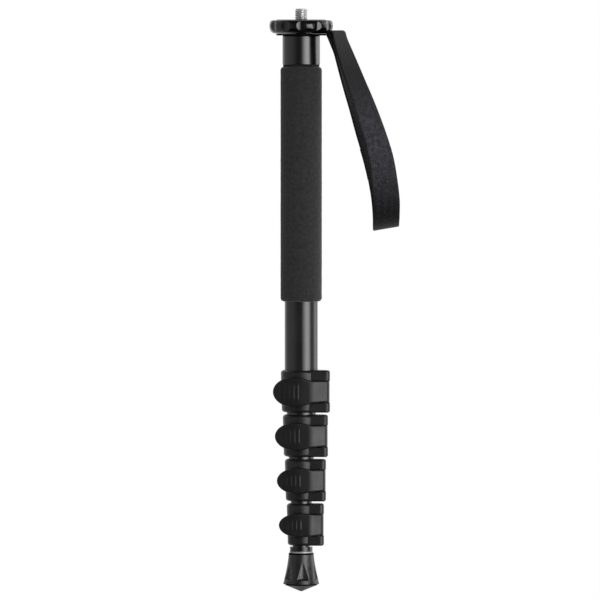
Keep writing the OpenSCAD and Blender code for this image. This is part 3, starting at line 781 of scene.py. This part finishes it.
def lever_reach(lever, x):
    """(lower, upper) edge of the lever about its mid height, by place across the front."""
    half, centre = lever["half"], lever["centre"]
    if x < centre:
        share = min(1.0, (centre - x) / PADDLE_NOSE)
        rise = half * math.sqrt(1 - share * share)
        return -rise, rise
    if x < LEVER_BEND:
        ease = math.acos(LEVER_H / 2 / half)
        turn = math.asin((x - centre) / (LEVER_BEND - centre) * math.sin(ease))
        return -half * math.cos(turn), half * math.cos(turn)
    lift = LEVER_RISE * (x - LEVER_BEND) / (lever["right"] - LEVER_BEND)
    return lift - LEVER_H / 2, LEVER_H / 2


def rim_drop(gap):
    """How far the rounded rim falls below the flat face, this far in from the outline."""
    left = LEVER_ROUND - min(gap, LEVER_ROUND)
    return LEVER_ROUND - math.sqrt(LEVER_ROUND ** 2 - left ** 2)


def rib_rise(lever, along, z):
    """Height of the grip ribs above the paddle, this far from the tip."""
    room = lever["half"] - RIB_MARGIN - abs(z)
    if room < 0:
        return 0.0
    first = lever["rib_mid"] - (RIB_COUNT - 1) / 2 * RIB_PITCH
    offs = [abs(along - first - k * RIB_PITCH) / RIB_HALF for k in range(RIB_COUNT)]
    swell = math.cos(math.pi / 2 * min(1.0, min(offs))) ** 2
    return RIB_RISE * swell * min(1.0, room / RIB_FADE)


def outline_gap(spots, edge):
    """Distance of each (along, z) spot from the outline, a list of connected points."""
    a, b = edge[:-1], edge[1:]
    run = b - a
    size = np.maximum((run ** 2).sum(1), 1e-12)
    reach = spots[:, None, :] - a[None]
    share = np.clip((reach * run[None]).sum(2) / size, 0, 1)
    return np.sqrt(((reach - share[..., None] * run[None]) ** 2).sum(2)).min(1)


def lever_blade(lever):
    """Points and faces of the panel and paddle, with a rounded rim all round."""
    line = lever_line(lever)
    rows, wide = LEVER_ROWS, LEVER_ROWS + 1
    spread = [math.sin(math.pi * (k / rows - 0.5)) for k in range(wide)]
    alongs = [0.0]
    for (p, _), (q, _) in zip(line, line[1:]):
        alongs.append(alongs[-1] + (q - p).length)
    edges = [lever_reach(lever, p.x) for p, _ in line]
    heights = [[(low + high) / 2 + (high - low) / 2 * v for v in spread] for low, high in edges]
    spots = np.array([(s, z) for s, column in zip(alongs, heights) for z in column])
    gaps = np.minimum(*(
        outline_gap(spots, np.array([(s, e[side]) for s, e in zip(alongs, edges)]))
        for side in (0, 1)))
    nose_along = alongs[-1] - NOSE_FWD - KNUCKLE_R * (math.pi / 2 - lever["panel"])
    outer, inner = [], []
    for j, (point, out) in enumerate(line):
        thin = NOSE_THIN * min(1.0, max(0.0, 1 - (nose_along - alongs[j]) / THIN_LONG))
        for k, z in enumerate(heights[j]):
            drop = rim_drop(gaps[j * wide + k])
            face = point + out * (rib_rise(lever, alongs[j], z) - drop)
            back = point - out * (LEVER_T - thin - drop)
            outer.append((face.x, face.y, lever["mid"] + z))
            inner.append((back.x, back.y, lever["mid"] + z))
    count, faces = len(outer), []
    for j in range(len(line) - 1):
        for k in range(rows):
            a, b = j * wide + k, (j + 1) * wide + k
            faces += [(a, b, b + 1, a + 1), (count + a + 1, count + b + 1, count + b, count + a)]
        for a, b in ((j * wide, (j + 1) * wide), (j * wide + rows, (j + 1) * wide + rows)):
            faces.append((a, b, count + b, count + a))
    last = (len(line) - 1) * wide
    faces += [(last + k, last + k + 1, count + last + k + 1, count + last + k) for k in range(rows)]
    return outer + inner, faces


def lever_knuckle(lever):
    """Points and faces of the cam knuckle round the pin."""
    press = lever["pin_angle"] - math.pi / 2

    def level(inset, share, lift):
        ring = []
        for b in full_turn(KNUCKLE_STEPS):
            cam = KNUCKLE_R + CAM_LIFT * max(0.0, math.cos(b - press)) ** 2
            radius = PIN_BORE if inset is None else cam - inset
            spot = lever["pin"] + radius * ray(b)
            ring.append((spot.x, spot.y, lever["mid"] + LEVER_H * (share - 0.5) + lift))
        return ring

    soft, some = KNUCKLE_SOFT, KNUCKLE_SOFT * SOFT_MID
    return skin_rings([
        level(None, 0, 0), level(soft, 0, 0), level(some, 0, some), level(0, 0, soft),
        level(0, 1, -soft), level(some, 1, -some), level(soft, 1, 0), level(None, 1, 0)])


lever_nylon = lock_finish(
    "lever_nylon", (0.007, 0.007, 0.0074), (0.0195, 0.0195, 0.02), 0.24, 0.29, 0.37)
for i in range(1, LOCK_COUNT + 1):
    lever = lever_facts(i)
    verts, faces = lever_blade(lever)
    knuckle_verts, knuckle_faces = lever_knuckle(lever)
    faces += [[len(verts) + v for v in face] for face in knuckle_faces]
    piece = link_mesh(f"flip_lever_{i}", verts + knuckle_verts, faces, lever_nylon, crease=40)
    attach(piece, f"lever_{i}")
    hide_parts(f"lock_{i}_lever")


# Foot plug, stud and washer
# A turned aluminium plug, glued into the last tube, ends in a grooved black ring.
# A steel stud screwed into it carries a bright washer and the rubber foot.
ring_black = new_finish("ring_black", (0.004, 0.004, 0.0044), 0.2, Specular_IOR_Level=0.36)
ring_lines = place_effect(ring_black, streaks, Stretch=(40, 40, 4000))
vary(ring_black, "Roughness", ring_lines, 0.14, 0.26)
emboss(ring_black, ring_lines, 0.003 * MM)
dress(nodes["foot_plug"], ring_black)
dress(nodes["foot_stud"], steel)
washer_steel = new_finish("washer_steel", (0.26, 0.26, 0.264), 0.55, Metallic=0.4)
work_metal(
    washer_steel, (40, 40, 5000), 0.46, 0.62, 200.0, (0.22, 0.22, 0.224), (0.3, 0.3, 0.304))
dress(nodes["foot_washer"], washer_steel)


# Rubber foot
# Moulded in hard rubber and screwed on to the stud. Six finger scoops round the skirt
# give the grip to turn it, and the blunt cone below the rim stands on the ground.
FOOT_TOP, FOOT_H, FOOT_CONE_H = -402.7, 29.2, 6.0
FOOT_TOP_R, FOOT_RIM_R, FOOT_LIP, FLARE_POWER = 9.5, 13.6, 0.8, 1.4
RIM_TURN, TIP_R, TIP_ROUND, TIP_FLAT = 1.2, 2.0, 0.6, 0.12
SOLE_LIP, SOLE_DROP, SOLE_GROOVE, GROOVE_EASE, TOP_BAND = 0.35, 0.1, 0.7, 0.2, 1.3
SCOOPS, SCOOP_TURN, SCOOP_R, SCOOP_DEPTH = 6, -83.0, 5.2, 2.4
SCOOP_LEN, SCOOP_UP, SCOOP_RUN_OUT = 12.8, 5.4, 0.25
STUD_BORE, STUD_LOW = 3.05, -415.7
FOOT_STEPS, FOOT_ROWS, CUT_STEP, SOFTENING = 288, 96, 0.04, 3
FOOT_RIM_Z = FOOT_TOP - FOOT_H + FOOT_CONE_H
FLARE_TOP = FOOT_TOP - FOOT_LIP
RUBBER_DARK, RUBBER_LIGHT = (0.005, 0.005, 0.0054), (0.012, 0.012, 0.0125)


def skirt_reach(z):
    """Radius of the flared skirt before its scoops are cut."""
    share = (FLARE_TOP - z) / (FLARE_TOP - FOOT_RIM_Z)
    return FOOT_TOP_R + (FOOT_RIM_R - FOOT_TOP_R) * max(0.0, share) ** FLARE_POWER


def scoop_cut(radius, angle, z):
    """True where a scoop's cone has been cut out of the skirt."""
    cone_r = (SCOOP_R ** 2 + SCOOP_DEPTH ** 2) / (2 * SCOOP_DEPTH)
    low = FOOT_RIM_Z + SCOOP_UP
    base = skirt_reach(low) + cone_r - SCOOP_DEPTH
    lean = math.atan((base - skirt_reach(low + SCOOP_LEN) - SCOOP_RUN_OUT) / SCOOP_LEN)
    tall = SCOOP_LEN / math.cos(lean)
    pitch = 2 * math.pi / SCOOPS
    off = (angle - math.radians(SCOOP_TURN) + pitch / 2) % pitch - pitch / 2
    x, y, h = radius * math.cos(off) - base, radius * math.sin(off), z - low
    up = h * math.cos(lean) - x * math.sin(lean)
    out = x * math.cos(lean) + h * math.sin(lean)
    return 0 < up < tall and math.hypot(out, y) < cone_r * (1 - up / tall)


def skirt_row(row):
    """Height of one row of the skirt."""
    return FLARE_TOP - row / FOOT_ROWS * (FLARE_TOP - FOOT_RIM_Z)


def skirt_radii():
    """Radius of the scooped skirt by row and step, with the mould's soft edges."""
    radii = np.zeros((FOOT_ROWS + 1, FOOT_STEPS))
    for row in range(FOOT_ROWS + 1):
        z = skirt_row(row)
        for k, angle in enumerate(full_turn(FOOT_STEPS)):
            radius = skirt_reach(z)
            while scoop_cut(radius, angle, z):
                radius -= CUT_STEP
            radii[row, k] = radius
    for _ in range(SOFTENING):
        sides = (np.roll(radii, 1, 1) + np.roll(radii, -1, 1)) / 4 + radii / 2
        radii[1:-1] = (sides[:-2] + sides[2:]) / 4 + sides[1:-1] / 2
    return radii


def foot_rings():
    """The rubber foot from its stud hole over the skirt to the tip of its cone."""
    lip = [(STUD_BORE, STUD_LOW), (STUD_BORE, FOOT_TOP)]
    lip += corner_arc(FOOT_TOP_R - FOOT_LIP, FLARE_TOP, FOOT_LIP, 90, 15, 4)
    under = corner_arc(FOOT_RIM_R - SOLE_LIP, FOOT_RIM_Z - SOLE_DROP, SOLE_LIP, -5, -90, 4)
    sole_r, sole_z = FOOT_RIM_R - RIM_TURN, FOOT_RIM_Z - RIM_TURN
    under += [(sole_r - SOLE_GROOVE, z) for z in (under[-1][1], sole_z + GROOVE_EASE)]
    tip_z = FOOT_RIM_Z - FOOT_CONE_H
    under += [
        (sole_r - GROOVE_EASE, sole_z), (TIP_R, tip_z + TIP_ROUND), (TIP_R * 0.5, tip_z + TIP_FLAT)]
    rings = [ring_at(0, STUD_LOW, 1)] + [ring_at(r, z, FOOT_STEPS) for r, z in lip]
    turns = full_turn(FOOT_STEPS)
    for row, radii in enumerate(skirt_radii()):
        z = skirt_row(row)
        rings.append([(r * math.cos(t), r * math.sin(t), z) for r, t in zip(radii, turns)])
    return rings + [ring_at(r, z, FOOT_STEPS) for r, z in under] + [ring_at(0, tip_z, 1)]


def rubber_finish(name, dark, light, gloss, smooth, dull):
    """Moulded rubber with a fine grain, scuffed in patches."""
    finish = new_finish(name, dark, dull, Specular_IOR_Level=gloss)
    emboss(finish, place_effect(finish, surface_grain, Scale=2200.0), 0.015 * MM)
    scuffed = place_effect(finish, smudges, Scale=150.0)
    vary(finish, "Roughness", scuffed, smooth, dull)
    tint(finish, scuffed, dark, light)
    return finish


skirt_rubber = rubber_finish("skirt_rubber", RUBBER_DARK, RUBBER_LIGHT, 0.38, 0.27, 0.4)
sole_rubber = rubber_finish("sole_rubber", RUBBER_DARK, RUBBER_LIGHT, 0.06, 0.27, 0.4)
# Painted shade: a near-black rubber for the band under the washer and the band just under the rim.
painted_shade_rubber = rubber_finish(
    "painted_shade_rubber", (0.0012, 0.0012, 0.0012), (0.003, 0.003, 0.003), 0.02, 0.6, 0.8)
foot = link_mesh("scooped_foot", *skin_rings(foot_rings()), skirt_rubber, crease=45)
foot.data.materials.append(sole_rubber)
foot.data.materials.append(painted_shade_rubber)
SOLE_SLOT, SHADE_BAND_SLOT = 1, 2
# The faces in those two shaded bands take the painted shade rubber; the cone below the rim takes
# the sole's.
for patch in foot.data.polygons:
    z = patch.center.z / MM
    if z > FOOT_TOP - TOP_BAND or FOOT_RIM_Z - RIM_TURN < z < FOOT_RIM_Z:
        patch.material_index = SHADE_BAND_SLOT
    elif z <= FOOT_RIM_Z - RIM_TURN:
        patch.material_index = SOLE_SLOT
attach(foot, "section_5")
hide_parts("rubber_foot")


# Studio
# A pale floor, low enough for the monopod drawn out to its full length, in an open white
# surround. A tall softbox stands to the right of the camera, with a rim strip behind it,
# and grey and black cards all round show only as the dark parts of the gloss.
PIXEL, FRAME_PIXELS, SENSOR = 0.755, 600, 36.0
CAMERA_OUT, CAMERA_X, EYE_Z, AIM_Z = 6000.0, -0.9, 0.0, -211.6
FLOOR_Z, FLOOR_HALF, FLOOR_GREY, FLOOR_SHOWN, FLOOR_GLOW = -1489.0, 20.0, 0.85, 0.88, 1.1
FILL_LIGHT, SEEN_LIGHT = 0.45, 1.0
LAMP_OUT, LAMP_LEAN = 1.6, -25.0
# Name, azimuth from the camera to the right, middle's height, width, height, radiance
LAMPS = [
    ("key_feather", 14, -0.15, 0.31, 1.6, 1.6),
    ("key_edge", 25.5, -0.15, 0.29, 1.6, 4.6),
    ("key_softbox", 42, -0.15, 0.58, 1.6, 6.5),
    ("key_skirt", 63, -0.42, 0.3, 0.6, 3.6),
    ("rim_feather", 97, 0, 0.3, 1.7, 0.7),
    ("rim_strip", 111, 0, 0.42, 1.7, 1.9),
    ("rim_head", 129, 0.35, 0.6, 0.8, 2.2)]
CARD_LOW, CARD_SPLIT, CARD_HIGH = -1.5, -0.14, 1.1
# Name, azimuth, distance, width, lowest, highest, lean, brightness at its left and its right
UPRIGHT_CARDS = [
    ("left_card", -94, 1.6, 2.16, CARD_LOW, CARD_HIGH, 0.0, 0.68, 0.68),
    ("side_card", -40, 2.5, 1.82, CARD_LOW, CARD_HIGH, 0.0, 0.68, 0.1),
    ("camera_card", -5, 2.6, 1.4, CARD_LOW, CARD_HIGH, 0.0, 0.1, 0.12),
    ("right_card", 75, 1.4, 0.72, CARD_SPLIT, CARD_HIGH, LAMP_LEAN, 0.0, 0.0),
    ("right_low_card", 75, 1.4, 0.72, CARD_LOW, CARD_SPLIT, LAMP_LEAN, 0.6, 0.6)]
# Name, half its width, nearest, farthest, height, brightness
LEVEL_CARDS = [
    ("ceiling_card", 1.6, -2.6, 0.3, 1.15, 0.08),
    ("floor_card", 3, -3.5, -0.0105, FLOOR_Z * MM + 0.0005, 0.0)]


def flat_panel(name, corners):
    """A flat panel between four corners in metres, and its material's empty node tree."""
    sheet = bpy.data.meshes.new(name)
    sheet.from_pydata(corners, [], [(0, 1, 2, 3)])
    paint = bpy.data.materials.new(name)
    paint.use_nodes = True
    paint.node_tree.nodes.clear()
    sheet.materials.append(paint)
    return into_scene(name, sheet), paint.node_tree


def level_corners(half, near, far, z):
    """Corners of a panel that lies level, half its width to either side of the object."""
    return [(-half, near, z), (half, near, z), (half, far, z), (-half, far, z)]


def upright_corners(azimuth, distance, width, low, high, lean):
    """Corners of a panel that stands facing the object, at an azimuth as the lamps have."""
    turn = math.radians(azimuth)
    base, aside = distance * ray(turn).to_3d(), ray(turn + math.pi / 2).to_3d()
    slope = math.tan(math.radians(lean))
    return [
        base + aside * (side * width / 2 + z * slope) + Vector((0, 0, z))
        for side, z in ((-1, low), (1, low), (1, high), (-1, high))]


def white_to_eye(tree):
    """1 for rays that show the background: seen, reflected or refracted."""
    path = add_node(tree, "LightPath").outputs
    shown = path["Is Camera Ray"]
    for ray_kind in ("Is Glossy Ray", "Is Transmission Ray"):
        shown = maths(tree, "MAXIMUM", shown, path[ray_kind])
    return shown


def studio_card(name, corners, left, right):
    """A card seen only as a reflection, its brightness graded from left to right."""
    card, tree = flat_panel(name, corners)
    card.visible_camera = card.visible_diffuse = card.visible_shadow = False
    place = add_node(tree, "SeparateXYZ", {0: add_node(tree, "TexCoord").outputs["Generated"]})
    shade = ramp(tree, place.outputs["X"], to_low=left, to_high=right)
    glow = add_node(tree, "Emission", {"Strength": shade})
    add_node(tree, "OutputMaterial", {"Surface": glow.outputs[0]})


def softbox(name, azimuth, middle, width, height, radiance):
    """A rectangular lamp that faces the object, leaning as the whole bank of lamps does."""
    lamp = bpy.data.lights.new(name, "AREA")
    lamp.shape = "RECTANGLE"
    lamp.size, lamp.size_y = width, height
    lamp.energy = radiance * math.pi * width * height
    box = into_scene(name, lamp)
    turn = math.radians(azimuth)
    box.location = (*(LAMP_OUT * ray(turn)), middle)
    box.rotation_euler = (math.radians(90), math.radians(LAMP_LEAN), turn)
    box.visible_camera = False


floor, floor_tree = flat_panel(
    "studio_floor", level_corners(FLOOR_HALF, -FLOOR_HALF, FLOOR_HALF, 0))
floor.location = (0, 0, FLOOR_Z * MM)
paint = add_node(floor_tree, "BsdfDiffuse", {"Color": (FLOOR_GREY, FLOOR_GREY, FLOOR_GREY, 1)})
glow = add_node(floor_tree, "Emission", {"Color": (1, 1, 1, 1), "Strength": FLOOR_GLOW})
show = maths(floor_tree, "MULTIPLY", white_to_eye(floor_tree), FLOOR_SHOWN)
blend = add_node(floor_tree, "MixShader", {0: show, 1: paint.outputs[0], 2: glow.outputs[0]})
add_node(floor_tree, "OutputMaterial", {"Surface": blend.outputs[0]})

world = bpy.data.worlds.new("white_surround")
bpy.context.scene.world = world
world.use_nodes = True
sky = world.node_tree
sky.nodes.clear()
fill = add_node(sky, "Background", {"Color": (1, 1, 1, 1), "Strength": FILL_LIGHT})
seen = add_node(sky, "Background", {"Color": (1, 1, 1, 1), "Strength": SEEN_LIGHT})
swap = add_node(sky, "MixShader", {0: white_to_eye(sky), 1: fill.outputs[0], 2: seen.outputs[0]})
add_node(sky, "OutputWorld", {"Surface": swap.outputs[0]})

for lamp_facts in LAMPS:
    softbox(*lamp_facts)
for name, *corner_facts, left, right in UPRIGHT_CARDS:
    studio_card(name, upright_corners(*corner_facts), left, right)
for name, *corner_facts, shade in LEVEL_CARDS:
    studio_card(name, level_corners(*corner_facts), shade, shade)

lens = bpy.data.cameras.new("eye_level_camera")
lens.sensor_width = SENSOR
lens.lens = SENSOR * math.hypot(CAMERA_OUT, EYE_Z - AIM_Z) / (FRAME_PIXELS * PIXEL)
lens.clip_end = 50
camera = into_scene("eye_level_camera", lens)
camera.location = (CAMERA_X * MM, -CAMERA_OUT * MM, EYE_Z * MM)
camera.rotation_euler = (math.radians(90) - math.atan2(EYE_Z - AIM_Z, CAMERA_OUT), 0, 0)
bpy.context.scene.camera = camera
bpy.context.scene.view_settings.view_transform = "Standard"
